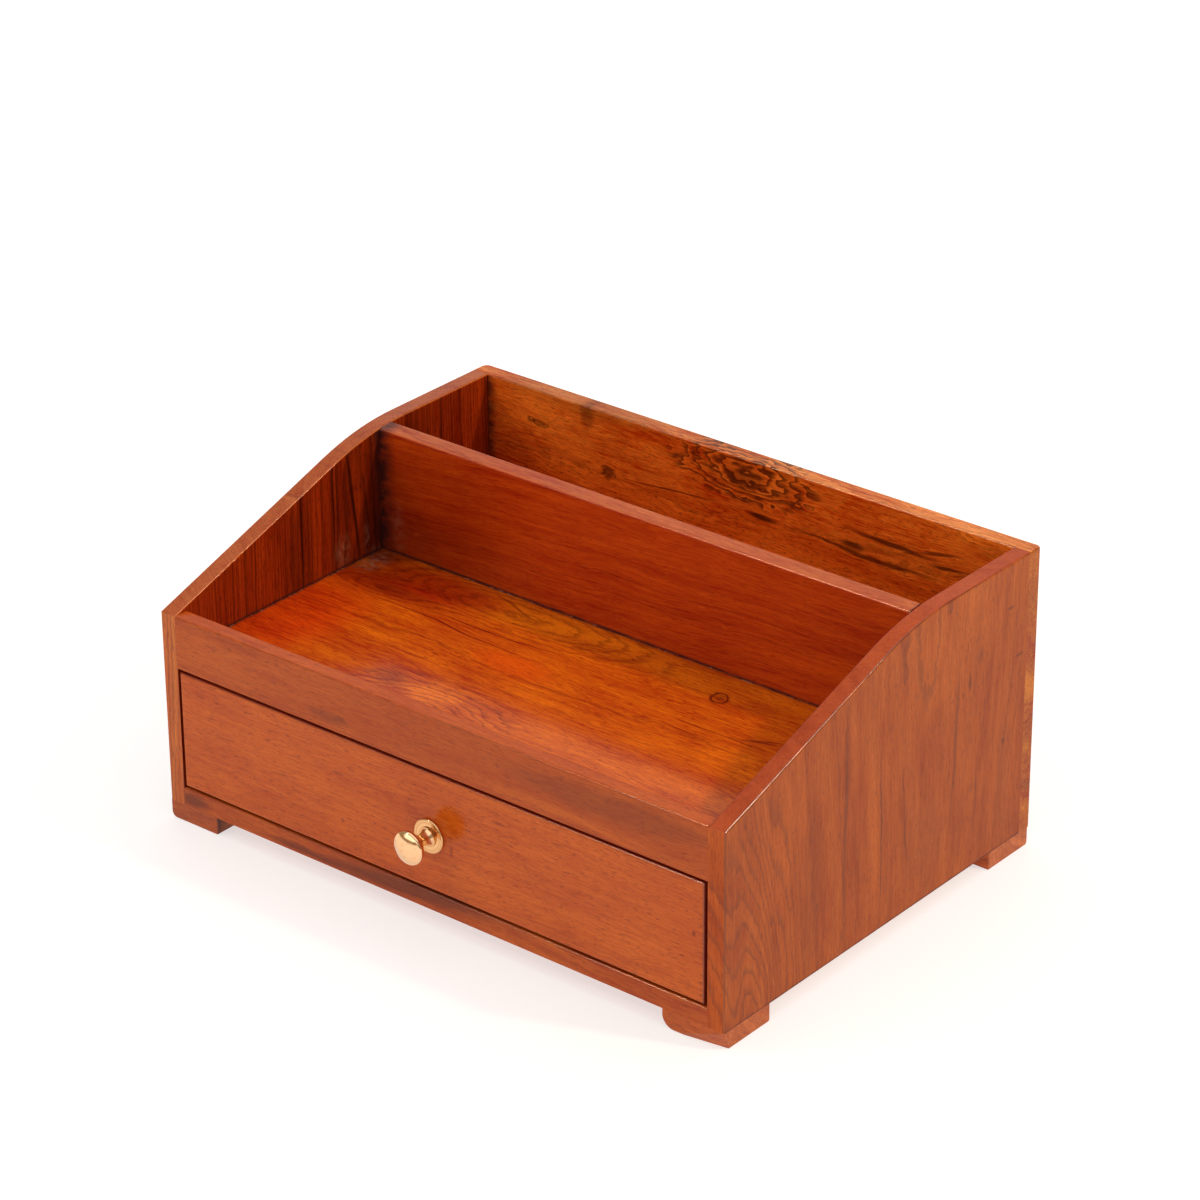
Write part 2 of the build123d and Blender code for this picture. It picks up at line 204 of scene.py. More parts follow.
def away_from(tree, place, cut, mark, centre):
    """How far a place is from a mark's middle, where one is its rim."""
    spot = dict(zip("XYZ", centre))
    inputs = {
        "Vector": place,
        "Location": (mark.along - spot[cut.along] / MM, mark.across - spot[cut.across] / MM, 0.0),
        "Rotation": (0.0, 0.0, math.radians(mark.turn)),
        "Scale": (mark.length, mark.width, THROUGH),
    }
    local = add(tree, "Mapping", inputs, vector_type="TEXTURE")
    return add(tree, "VectorMath", [local], operation="LENGTH", take="Value")


def year_rings(tree, place, cut, centre):
    """Darkness of the year rings' lines, and the tone of each ring, both from nothing to one."""
    section = add(tree, "VectorMath", [place, (0.0, 1.0, 1.0)], operation="MULTIPLY")
    radius = add(tree, "VectorMath", [section, (0.0, *cut.pith)], operation="DISTANCE", take="Value")
    length = add(tree, "SeparateXYZ", [place])
    radius = add(tree, "Math", [length, cut.run_out, radius], operation="MULTIPLY_ADD")
    count = add(tree, "Math", [radius, cut.ring], operation="DIVIDE")

    # Wet and dry years come in runs, and each ring wanders a little
    runs = add(tree, "Math", [count, 0.23, cut.seed], operation="MULTIPLY_ADD")
    runs = add(tree, "TexNoise", {"W": runs, "Scale": 1.0, "Detail": 1.0}, noise_dimensions="1D")
    count = add(tree, "Math", [runs, 4.0, count], operation="MULTIPLY_ADD")
    wander = patches(tree, place, (9.0, 3.5, 3.5), cut.seed + 20, detail=1.5)
    wander = add(tree, "Math", [wander, 0.5], operation="SUBTRACT")
    count = add(tree, "Math", [wander, cut.ragged * 3, count], operation="MULTIPLY_ADD")
    bulged = [(mark, away_from(tree, place, cut, mark, centre)) for mark in cut.marks if mark.rings]
    for mark, away in bulged:
        bulge = add(tree, "MapRange", [away, 1.0, 0.0, 0.0, mark.rings], interpolation_type="SMOOTHERSTEP")
        count = add(tree, "Math", [bulge, count], operation="ADD")

    # A few rings have dark lines, and round a mark they all do
    year = add(tree, "Math", [count], operation="FLOOR")
    year = add(tree, "TexWhiteNoise", {"W": year}, noise_dimensions="1D", take="Value")
    dark = add(tree, "Math", [year, cut.plain], operation="POWER")
    dark = add(tree, "Math", [dark, cut.lines], operation="MULTIPLY")
    for mark, away in bulged:
        near = add(tree, "MapRange", [away, 1.0, 0.8, 0.0, mark.line], **SOFT)
        dark = add(tree, "Math", [near, dark], operation="MAXIMUM")

    # A ring's line grows slowly and ends sharply
    part = add(tree, "Math", [count], operation="FRACT")
    grown = add(tree, "MapRange", [part, 0.95 - cut.thick, 0.9], **SOFT)
    ended = add(tree, "MapRange", [part, 1.0, 0.93], **SOFT)
    line = add(tree, "Math", [grown, ended], operation="MULTIPLY")
    tone = add(tree, "Math", [count, 0.6, cut.seed], operation="MULTIPLY_ADD")
    tone = add(tree, "TexNoise", {"W": tone, "Scale": 1.0, "Detail": 3.0}, noise_dimensions="1D")
    return add(tree, "Math", [line, dark], operation="MULTIPLY"), tone


def seam_dirt_and_shade(tree, cut, place):
    """Where grime and thick lacquer sit along the joints, the painted shade in inside corners, and the pale
    dust in them.
    """
    axes = add(tree, "SeparateXYZ", [add(tree, "TexCoord", take="Object")], take=None).outputs
    dirt_and_shade = 0.0
    for axis, at, reach, strength in cut.seams_and_shade:
        off = add(tree, "Math", [axes[axis], at * MM], operation="SUBTRACT")
        off = add(tree, "Math", [off], operation="ABSOLUTE")
        near = add(tree, "MapRange", [off, reach * MM, 0.0, 0.0, strength], **SOFT)
        dirt_and_shade = add(tree, "Math", [near, dirt_and_shade], operation="MAXIMUM")
    lumps = patches(tree, place, (9.0, 5.0, 5.0), cut.seed + 3, detail=3.0)
    lumps = add(tree, "MapRange", [lumps, 0.3, 0.6, 0.5, 1.0], **SOFT)
    dirt_and_shade = add(tree, "Math", [dirt_and_shade, lumps], operation="MULTIPLY")
    dust = patches(tree, place, (3.0, 1.4, 1.4), cut.seed + 12, detail=1.0)
    dust = add(tree, "MapRange", [dust, 0.6, 0.68], **SOFT)
    held = add(tree, "MapRange", [dirt_and_shade, 0.3, 0.7, 0.0, cut.dusty], **SOFT)
    return dirt_and_shade, add(tree, "Math", [dust, held], operation="MULTIPLY")


def face_masks(tree, cut):
    """Where the surface is a long edge, end grain, or an eased corner between flat faces."""
    size = add(tree, "VectorMath", [add(tree, "TexCoord", take="Normal")], operation="ABSOLUTE")
    parts = add(tree, "SeparateXYZ", [size], take=None).outputs
    along, across, through = (parts[axis] for axis in board_axes(cut))
    flat = add(tree, "Math", [along, across], operation="MAXIMUM")
    flat = add(tree, "Math", [flat, through], operation="MAXIMUM")
    limits = ((across, 0.6, 0.85), (along, 0.6, 0.85), (flat, 0.94, 0.8))
    return [add(tree, "MapRange", limit, **SOFT) for limit in limits]


def looks(tree, direction):
    """Where the surface looks in one direction."""
    normal = add(tree, "TexCoord", take="Normal")
    facing = add(tree, "VectorMath", [normal, direction], operation="DOT_PRODUCT", take="Value")
    return add(tree, "MapRange", [facing, 0.75, 0.95], **SOFT)


def stain_depth(tree, patterns, cores):
    """How far the stain goes from its light colour to its body, which patterns and marks shift."""
    depth = 0.5
    for pattern, swing in patterns:
        shift = add(tree, "MapRange", [pattern, 0.25, 0.75, -swing, swing], clamp=False)
        depth = add(tree, "Math", [shift, depth], operation="ADD")
    for mark, away in cores:
        if mark.heart < 0:
            shift = add(tree, "MapRange", [away, 1.0, 0.3, 0.0, mark.heart], **SOFT)
            depth = add(tree, "Math", [shift, depth], operation="ADD")
    return add(tree, "MapRange", [depth, -0.5, 1.2, -0.5, 1.2])


def dark_marks(tree, cores, lengthways, redder, line):
    """Layers for the red and the dark marks. End grain shows little of a dark one."""
    layers = []
    for mark, away in cores:
        if mark.red:
            red = add(tree, "MapRange", [away, 1.0, 0.3, 0.0, mark.red], **SOFT)
            layers.append((red, redder, "MIX"))
        if mark.heart > 0:
            heart = add(tree, "MapRange", [away, 1.0, 0.3, 0.0, mark.heart], **SOFT)
            heart = add(tree, "Math", [heart, lengthways], operation="MULTIPLY")
            layers.append((heart, line, "MIX"))
    return layers


def soiling_and_shade(tree, cut, cores, straight, gloss):
    """Layers for the pale dust on the face, and for the grime, painted shade and dust along the joints."""
    soils = []
    for mark, away in cores:
        if mark.dust:
            cloud = patches(tree, straight, (5.0, 3.0, 3.0), cut.seed + 14, detail=4.0)
            cloud = add(tree, "MapRange", [cloud, 0.35, 0.65], **SOFT)
            near = add(tree, "MapRange", [away, 1.0, 0.0, 0.0, mark.dust], **SOFT)
            soils.append((add(tree, "Math", [cloud, near], operation="MULTIPLY"), gloss.dust))
    if cut.seams_and_shade:
        soils.extend(zip(seam_dirt_and_shade(tree, cut, straight), (gloss.dirt_and_shade, gloss.dust)))
    inside = looks(tree, cut.inside) if cut.inside else 1.0
    return [(add(tree, "Math", [part, inside], operation="MULTIPLY"), tint, "MIX") for part, tint in soils]


def teak(name, node, cut, tone, gloss):
    """Stained and lacquered teak: red-brown, fine dark ring lines, short open pores, a clear soft gloss."""
    material, tree = new_material(name)
    centre = middle(node)
    straight = board_place(tree, cut, centre)
    place = bent(tree, straight, cut)
    lines, tones = year_rings(tree, place, cut, centre)
    edge, end, corner = face_masks(tree, cut)
    inner = [mark for mark in cut.marks if mark.heart or mark.dust or mark.red]
    cores = [(mark, away_from(tree, place, cut, mark, centre)) for mark in inner]

    light, body, line = tone.light, tone.body, tone.line
    for direction, lining in cut.linings:
        facing = looks(tree, direction)
        light = layered(tree, light, [(facing, lining.light, "MIX")])
        body = layered(tree, body, [(facing, lining.body, "MIX")])
        line = layered(tree, line, [(facing, lining.line, "MIX")])

    # Fibres are some 0.2 mm wide, drawn four times as wide so that they show in the picture
    fibres = patches(tree, place, (16.0, 0.8, 0.8), cut.seed, detail=3.0)
    streaks = patches(tree, place, (90.0, 3.2, 3.2), cut.seed + 9, detail=3.0)
    mottle = patches(tree, place, (50.0, 18.0, 18.0), cut.seed + 6, detail=3.0)
    patterns = ((fibres, cut.fibres), (streaks, cut.streaks), (mottle, cut.mottle), (tones, cut.bands))
    depth = stain_depth(tree, patterns, cores)
    stained = {FACTOR: depth, BELOW: light, ABOVE: body}
    wood = add(tree, "Mix", stained, take=MIXED, data_type="RGBA", clamp_factor=False)

    # Pores are 0.3 mm wide and some 4 mm long, drawn twice as wide
    pores = patches(tree, place, (4.0, 0.6, 0.6), cut.seed + 2, detail=1.0)
    pores = add(tree, "MapRange", [pores, 0.58, 0.7], **SOFT)
    worn_or_highlit = patches(tree, straight, (30.0, 30.0, 30.0), cut.seed + 8, detail=4.0)
    worn_or_highlit = add(tree, "MapRange", [worn_or_highlit, 0.35, 0.55, 0.0, abs(cut.rub_or_highlight)], **SOFT)
    lengthways = add(tree, "MapRange", [end, 0.0, 1.0, 1.0, 0.3], **SOFT)
    redder = add(tree, "VectorMath", [wood, REDDER], operation="MULTIPLY")
    layers = [
        *dark_marks(tree, cores, lengthways, redder, line),
        (add(tree, "Math", [lines, lengthways], operation="MULTIPLY"), line, "MIX"),
        (add(tree, "Math", [pores, cut.pores], operation="MULTIPLY"), line, "MIX"),
        # Eased edges are darker with gathered stain, or lighter as a painted highlight where the setting is
        # under zero
        (add(tree, "Math", [corner, worn_or_highlit], operation="MULTIPLY"), line if cut.rub_or_highlight > 0 else light, "MIX"),
        (edge, [to / of for to, of in zip(tone.edge, tone.body)], "MULTIPLY"),
        (end, [to / of for to, of in zip(tone.end, tone.body)], "MULTIPLY"),
        *soiling_and_shade(tree, cut, cores, straight, gloss),
    ]

    # The lacquer fills the pores partly and follows the fibres a little
    relief = add(tree, "Math", [pores, -0.6, fibres], operation="MULTIPLY_ADD")
    levels = patches(tree, straight, (14.0, 9.0, 9.0), cut.seed + 4)
    coats = (gloss.coat * cut.shine, gloss.edge_coat * cut.gleam)
    surface(
        tree,
        {
            "Base Color": layered(tree, wood, layers),
            "Roughness": add(tree, "MapRange", [fibres, 0.0, 1.0, gloss.base_low, gloss.base_high]),
            "Specular IOR Level": gloss.base_specular,
            "Normal": add(tree, "Bump", {"Strength": 0.12, "Distance": 0.1 * MM, "Height": relief}),
            "Coat Weight": add(tree, "MapRange", [corner, 0.0, 1.0, *coats], **SOFT),
            "Coat Roughness": gloss.coat_roughness,
            "Coat Normal": add(tree, "Bump", {"Strength": 0.1, "Distance": 0.2 * MM, "Height": levels}),
        },
    )
    return material


def dress(node, material):
    """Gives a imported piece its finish."""
    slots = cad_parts[node].data.materials
    slots.clear()
    slots.append(material)


# Settings that a user would change


def stain(name, light, body, line, edge=None, end=None):
    """A group of settings for the stain of one board, whose defaults are sRGB hex codes."""
    settings = {
        "light": colour("Light wood", light, "Early wood between the ring lines"),
        "body": colour("Body", body, "The board's main colour"),
        "line": colour("Ring lines", line, "Late wood, pores and knots"),
        "edge": colour("Long edges", edge or body, "What the body's colour turns to on the long edges"),
        "end": colour("End grain", end or body, "What the body's colour turns to on the end grain"),
    }
    return type(name, (bpy.types.PropertyGroup,), {"__annotations__": settings})


FrontStain = stain("FrontStain", "#C25A11", "#A64006", "#6A2408", edge="#701C06", end="#701C06")
RailStain = stain("RailStain", "#B45210", "#983806", "#5A2410", edge="#9E3C0B")
FootStain = stain("FootStain", "#C25915", "#A24006", "#5A2410", end="#A24A10")
SideStain = stain("SideStain", "#AE5514", "#903C06", "#5A2C18", edge="#9A3C06", end="#8E340C")
FloorStain = stain("FloorStain", "#CC6008", "#9E3004", "#5C0A02")
DividerStain = stain("DividerStain", "#BE460A", "#9F2B04", "#5A0E04", edge="#A0401B")
BackStain = stain("BackStain", "#EC7420", "#C2460A", "#3A1004", edge="#B4511C", end="#963C06")
DarkStain = stain("DarkStain", "#9C340A", "#761E04", "#240802")
StripStain = stain("StripStain", "#C2661E", "#AC4A0D", "#5A2410", end="#963E13")
InnerStain = stain("InnerStain", "#B0602C", "#94481C", "#4A2008")
PlyStain = stain("PlyStain", "#C89058", "#B07A46", "#7A4A22")
BeechStain = stain("BeechStain", "#E0B887", "#CDA06C", "#A87848")


class Lacquer(bpy.types.PropertyGroup):
    """Gloss of the clear coat and of the wood under it, what gathers in the joints, and the colour of
    painted shade in corners.
    """

    coat: share("Coat", 0.5, "How much of the wood is lacquered")
    edge_coat: share("Coat on edges", 1.0, "How much of the eased edges is lacquered")
    coat_roughness: share("Coat roughness", 0.14, "Soft gloss")
    base_low: share("Wood roughness, least", 0.35, "Roughness of the lit fibres")
    base_high: share("Wood roughness, most", 0.6, "Roughness of the dull fibres")
    base_specular: share("Wood specular", 0.03, "Shine of the wood under the coat")
    # One dark colour serves for grime and lacquer in the joints and for painted shade in inside corners and
    # on shaded faces
    dirt_and_shade: colour("Joint dirt", "#3A1A18", "Dark dirt and lacquer along the joints")
    dust: colour("Joint dust", "#A87860", "Pale dust in the joints")


class Studio(bpy.types.PropertyGroup):
    """The floor, the lights and the camera."""

    floor_side: FloatProperty(name="Floor side", default=14.0, unit="LENGTH", description="Its side")
    floor_colour: colour("Floor", "#B8B7B6", "Pale floor")
    floor_glow: share("Floor glow", 0.6, "Light through the floor, which keeps the shadows on it pale")
    sky: FloatProperty(name="Sky", default=0.39, min=0, description="Light from all round")
    walls: colour("Walls", "#F3DDAF", "Warm light from low down all round")
    backdrop: FloatProperty(name="Backdrop", default=0.75, min=0, description="White backdrop behind")
    overhead: FloatProperty(name="Overhead", default=1.2, min=0, description="Wide soft light from above")
    window: FloatProperty(name="Window", default=2.0, min=0, description="Bright low window in front")
    front_light: FloatProperty(name="Front light", default=0.4, min=0, description="Light at the left")
    edge_light: FloatProperty(name="Edge light", default=1.3, min=0, description="Small light at the back")
    camera_place: FloatVectorProperty(
        name="Camera", default=(1.21285, -1.45842, 1.086), unit="LENGTH", description="Where it stands"
    )
    camera_turn: FloatProperty(
        name="Turn", default=0.6895, subtype="ANGLE", description="How far round it stands"
    )
    camera_tilt: FloatProperty(
        name="Tilt", default=0.46541, subtype="ANGLE", description="How far it looks down"
    )
    camera_roll: FloatProperty(name="Roll", default=-0.00734, subtype="ANGLE", description="Sideways lean")
    lens: FloatProperty(name="Lens", default=129.716, min=1, description="Focal length, in millimetres")


class Organizer(bpy.types.PropertyGroup):
    """All the settings."""

    front: PointerProperty(type=FrontStain, name="Front", description="Drawer front")
    rail: PointerProperty(type=RailStain, name="Rails", description="Rails above and under the drawer")
    foot: PointerProperty(type=FootStain, name="Feet", description="Foot blocks")
    side: PointerProperty(type=SideStain, name="Right side", description="Right side panel")
    dark: PointerProperty(type=DarkStain, name="Left side", description="Inner face of the left side panel")
    strip: PointerProperty(type=StripStain, name="Left edge", description="Outside of the left side panel")
    divider: PointerProperty(type=DividerStain, name="Divider", description="Divider")
    floor: PointerProperty(type=FloorStain, name="Floor", description="Tray floor")
    back: PointerProperty(type=BackStain, name="Back", description="Back panel")
    inner: PointerProperty(type=InnerStain, name="Inside", description="Drawer box and hidden strips")
    ply: PointerProperty(type=PlyStain, name="Plywood", description="Bottom panels")
    beech: PointerProperty(type=BeechStain, name="Beech", description="Dowels")
    lacquer: PointerProperty(type=Lacquer, name="Lacquer", description="Gloss")
    studio: PointerProperty(type=Studio, name="Studio", description="Floor, lights and camera")


# Operators


class ORGANIZER_OT_boards(bpy.types.Operator):
    """Finishes the boards of the case and its feet"""

    bl_idname = "organizer.boards"
    bl_label = "Case boards"

    def execute(self, context):
        settings = context.scene.organizer
        for node, cut, tone in (*tray_cuts(settings), *case_cuts(settings), *hidden_cuts(settings)):
            dress(node, teak("lacquered_teak_" + node, node, cut, tone, settings.lacquer))
        return {"FINISHED"}


def tray_cuts(settings):
    """The boards round the tray and the rear compartment: how each was cut, and its stain."""
    floor_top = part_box("tray_floor")[1].z / MM
    side_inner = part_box("right_side_panel")[0].x / MM
    divider_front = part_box("divider")[0].y / MM
    divider_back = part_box("divider")[1].y / MM
    rail_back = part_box("front_rail")[1].y / MM
    back_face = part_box("back_panel")[0].y / MM
    floor = Cut(
        across="Y", pith=(14, 60), ring=5, run_out=0.02, ragged=0.3, lines=0.4, bands=0.15, fibres=0.5,
        streaks=0.2, seed=11, inside=(0, 0, 1), dusty=0.5,
        seams_and_shade=(
            ("X", -side_inner, 2.2, 0.9), ("X", side_inner, 1.6, 0.8), ("Y", divider_front, 2.0, 1.0),
            ("Y", divider_back, 1.8, 1.0), ("Y", rail_back, 0.8, 0.6),
        ),
        marks=(
            Mark(-138, 6, 60, 17, heart=0.68, rings=3, line=0.5, red=0.5),
            Mark(-115, 24, 60, 16, heart=0.4, red=0.7), Mark(-28, 31, 56, 12, heart=-0.55),
            Mark(-68, 26, 128, 27, rings=5, line=0.4),
            Mark(-36, -88, 60, 42, rings=5, line=0.45),
            Mark(-38, -70, 20, 16, heart=-0.6),
            Mark(-68, -68, 14, 10, heart=0.35),
            Mark(-95, -9, 95, 0.9, heart=0.8, turn=-1),
            Mark(-60, 1, 62, 0.9, heart=0.8, turn=5),
            Mark(-70, 30, 24, 0.9, heart=0.6, turn=-15),
            Mark(73, 15, 7, 6, heart=0.3, rings=1.2, line=1.0),
            Mark(114, -8, 17, 1.4, heart=0.6, turn=18),
            Mark(118, -5, 12, 0.9, heart=0.7, turn=24),
            Mark(95, -13, 50, 0.7, heart=0.8),
            Mark(80, -21, 20, 0.7, heart=0.6),
            Mark(-67, -37, 3, 1.0, heart=0.7),
            Mark(-160, -48, 52, 62, heart=0.08, red=0.7),
            Mark(70, -80, 150, 56, heart=-0.3),
            Mark(45, 26, 95, 13, heart=-0.35), Mark(-30, -21, 34, 15, heart=0.1, red=0.4),
            Mark(116, -34, 30, 17, heart=-0.4),
            # The dark mark in the corner by the left side and the divider is painted shade; the pale one
            # beside it is dust
            Mark(-160, 24, 10, 16, dust=0.5), Mark(-166, 33, 24, 12, heart=0.7),
            Mark(-45, 20, 60, 16, heart=-0.45),
        ),
    )
    back = Cut(
        pith=(72, 50), ring=4.5, ragged=0.75, lines=0.3, thick=0.7, mottle=0.5, fibres=0.6, streaks=0.35,
        shine=0.7, seed=31, inside=(0, -1, 0),
        # The wide band at the left end of the inner face is painted shade of the corner; the line at the
        # floor is grime in the joint
        seams_and_shade=(("Z", floor_top, 2.0, 1.0), ("X", -side_inner, 7.0, 0.8)),
        linings=(((0, 1, 0), settings.side),),
        marks=(
            Mark(3, 156, 54, 17, heart=0.12, rings=4.2, line=0.82),
            Mark(4, 154, 15, 9, heart=0.45), Mark(5, 168, 80, 16, rings=2.4, line=0.15),
            Mark(15, 136.5, 13, 2.9, heart=0.9),
            Mark(78, 135, 62, 1.5, heart=0.75, turn=-1.5),
            Mark(-45, 133, 42, 0.9, heart=0.65, turn=6),
            Mark(95, 145, 36, 2.4, heart=0.8, turn=-3),
            Mark(125, 148, 18, 1.5, heart=0.7, turn=8),
            Mark(72, 138, 11, 2.4, heart=0.8),
            Mark(130, 140, 15, 1.2, heart=0.8),
            Mark(-134, 146, 9, 4, heart=0.4, rings=2, line=0.8),
            Mark(-86, 130, 6, 4.5, heart=0.7, rings=1, line=0.7),
            Mark(-100, 161, 7, 10, heart=0.5),
            Mark(118, 160, 45, 12, heart=-0.4), Mark(-120, 140, 60, 25, heart=-0.2),
            Mark(100, 138, 50, 8, heart=0.15),
            Mark(-105, 166, 80, 8, heart=0.3), Mark(0, 121, 170, 8, heart=-0.45),
            Mark(178, 95, 6, 13, heart=-0.7), Mark(178, 137, 6, 14, heart=0.35),
            Mark(178, 60, 6, 20, heart=0.35),
            Mark(178, 37, 6, 3, heart=0.7),
        ),
    )
    divider = Cut(
        pith=(-160, 90), ring=2.4, run_out=0.01, sway=6, lines=0.3, bands=0.2, mottle=0.3, fibres=0.5,
        # The light front top edge is a painted highlight
        pores=0.3, slope=3, rub_or_highlight=-0.9, seed=23,
        # The wide band at the left end is painted shade of the corner by the left side; the other lines are
        # grime in the joints
        seams_and_shade=(("Z", floor_top, 2.0, 1.0), ("X", -side_inner, 12.0, 1.0), ("X", side_inner, 1.5, 0.8)),
        marks=(
            Mark(-145, 118, 3.5, 2, heart=-1.3, turn=30), Mark(43, 126, 3, 1, heart=-0.9),
            Mark(57, 118, 2.5, 1.2, heart=-0.4), Mark(120, 112, 60, 9, heart=-0.4, turn=4),
            Mark(-140, 140, 90, 50, heart=0.3), Mark(-158, 120, 8, 22, dust=0.25),
            Mark(-130, 112, 80, 24, heart=0.28),
        ),
    )
    left = Cut(
        along="Z", across="Y", pith=(14, 55), ring=2.2, run_out=0.01, sway=3, ripple=0.5, ragged=0.1,
        # The light inner top edge is a painted highlight
        lines=0.65, plain=0.4, thick=0.55, bands=0.25, mottle=0.3, rub_or_highlight=-0.7, gleam=0.25, seed=53,
        inside=(1, 0, 0),
        linings=(((1, 0, 0), settings.dark), ((-1, 0, 0), settings.side)),
        # The wide band by the divider's front is painted shade of the corner; the other lines are grime in
        # the joints
        seams_and_shade=(
            ("Z", floor_top, 2.2, 1.0), ("Y", divider_front, 9.0, 1.0), ("Y", divider_back, 2.0, 0.7),
            ("Y", back_face, 3.0, 0.5),
        ),
        marks=(
            Mark(135, -25.5, 60, 1.8, heart=-0.9), Mark(135, -22.8, 60, 0.9, heart=0.9),
            Mark(135, -12, 60, 9, heart=-0.3), Mark(110, -75, 60, 45, heart=-0.35),
            Mark(135, 2, 60, 1.0, heart=0.85), Mark(130, 17, 60, 1.6, heart=0.85, turn=-6),
            Mark(135, 30, 60, 9, heart=0.4), Mark(120, 8, 60, 13, heart=0.3),
            Mark(125, 64, 60, 22, heart=0.4),
            Mark(130, 116, 60, 20, heart=-0.5),
            Mark(110, -25, 60, 16, heart=0.35), Mark(135, 85, 60, 1.1, heart=0.8),
            Mark(106, 8, 13, 9, dust=0.35), Mark(107, 26, 12, 4, dust=0.4), Mark(98, 33, 5, 6, dust=0.45),
        ),
    )
    return (
        ("tray_floor", floor, settings.floor),
        ("back_panel", back, settings.back),
        ("divider", divider, settings.divider),
        ("left_side_panel", left, settings.strip),
    )


def case_cuts(settings):
    """The boards seen from outside: how each was cut, and its stain."""
    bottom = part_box("right_side_panel")[0].z / MM
    foot_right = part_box("front_left_foot")[1].x / MM
    rail = Cut(
        pith=(-120, 90), ring=2.8, run_out=0.01, sway=8, lines=0.12, bands=0.12, mottle=0.25, fibres=0.4,
        streaks=0.15, pores=0.45, shine=0.8, seed=41,
        marks=(
            Mark(110, 106, 95, 9, heart=0.35), Mark(-66, 95, 20, 5, heart=0.35),
            Mark(-140, 104, 40, 14, heart=-0.3),
            Mark(-58, 96.5, 5, 3, heart=0.2, rings=1, line=0.4), Mark(90, 93, 90, 4, heart=-0.4),
        ),
    )
    lower_rail = Cut(
        pith=(-120, 60), ring=2.8, lines=0.2, bands=0.2, sway=8, pores=0.4, shine=0.8, seed=47,
        marks=(
            Mark(-162, 14, 15, 5.5, heart=0.7), Mark(-18, 16, 76, 7, heart=0.75, turn=2),
            Mark(-85, 13, 36, 2.4, heart=0.6),
        ),
    )
    right = Cut(
        along="Z", across="Y", pith=(36, 38), ring=5.5, run_out=-0.1, sway=5, ripple=1.5, ragged=0.2,
        lines=0.3, bands=0.25, mottle=0.35, fibres=0.35, streaks=0.2, pores=0.45, rub_or_highlight=0.7, shine=0.6,
        # The dark line along the bottom edge of the outer face is a painted shadow under the case
        seed=61, inside=(1, 0, 0), seams_and_shade=(("Z", bottom, 1.4, 0.8),),
        linings=(((-1, 0, 0), settings.dark),),
        marks=(
            Mark(0, -92, 140, 46, rings=5, line=0.35),
            Mark(-10, -92, 82, 20, rings=2, line=0.45),
            Mark(80, -24, 90, 2.2, heart=0.5), Mark(60, 5, 65, 0.9, heart=0.6),
            Mark(70, -1, 75, 5, heart=-0.4), Mark(85, 66, 62, 1.6, heart=0.45, turn=4),
            Mark(45, 84, 34, 0.9, heart=0.5), Mark(60, 25, 48, 0.9, heart=0.45, turn=-4),
            Mark(185, 41, 134, 26, rings=3, line=0.4),
            Mark(115, 77, 7, 1.6, heart=0.6), Mark(126, 85, 5, 2.0, heart=0.4),
            Mark(142, 109, 1.4, 4, heart=0.6), Mark(113, 118, 1.2, 5, heart=0.6),
            Mark(70, 108, 2.4, 2.4, heart=0.5),
            Mark(55, 79, 4, 4, heart=0.25), Mark(54, -81, 4, 3, heart=0.4),
            Mark(170, 60, 75, 95, heart=-0.35), Mark(60, -50, 90, 9, heart=0.15),
            Mark(55, 108, 60, 8, heart=0.15), Mark(40, 40, 40, 26, heart=0.15),
        ),
    )
    # The right face of the front left foot is painted dark as shade under the case, using the joints' dark
    # colour
    foot_with_painted_shade = Cut(
        pith=(30, 40), mottle=0.6, seed=71, inside=(1, 0, 0), seams_and_shade=(("X", foot_right, 1.5, 0.85),),
        marks=(Mark(-160, 4, 40, 20, heart=0.3),),
    )
    return (
        ("front_rail", rail, settings.rail),
        ("lower_front_rail", lower_rail, settings.rail),
        ("right_side_panel", right, settings.side),
        ("front_left_foot", foot_with_painted_shade, settings.foot),
        ("front_right_foot", Cut(pith=(30, 40), mottle=0.3, seed=73), settings.foot),
        ("rear_left_foot", Cut(pith=(30, 40), seed=79), settings.foot),
        ("rear_right_foot", Cut(pith=(30, 40), seed=83), settings.foot),
    )


def hidden_cuts(settings):
    """The boards inside the case: how each was cut, and its stain."""
    strips = ("left_drawer_runner", "right_drawer_runner", "left_drawer_kicker", "right_drawer_kicker")
    return (
        ("bottom_panel", Cut(across="Y", pith=(100, 140), ring=7, seed=89), settings.ply),
        ("carcass_dowels", Cut(pith=(30, 40), lines=0.2, seed=109), settings.beech),
        *(
            (node, Cut(along="Y", pith=(30, 40), seed=seed), settings.inner)
            for seed, node in enumerate(strips, 97)
        ),
    )


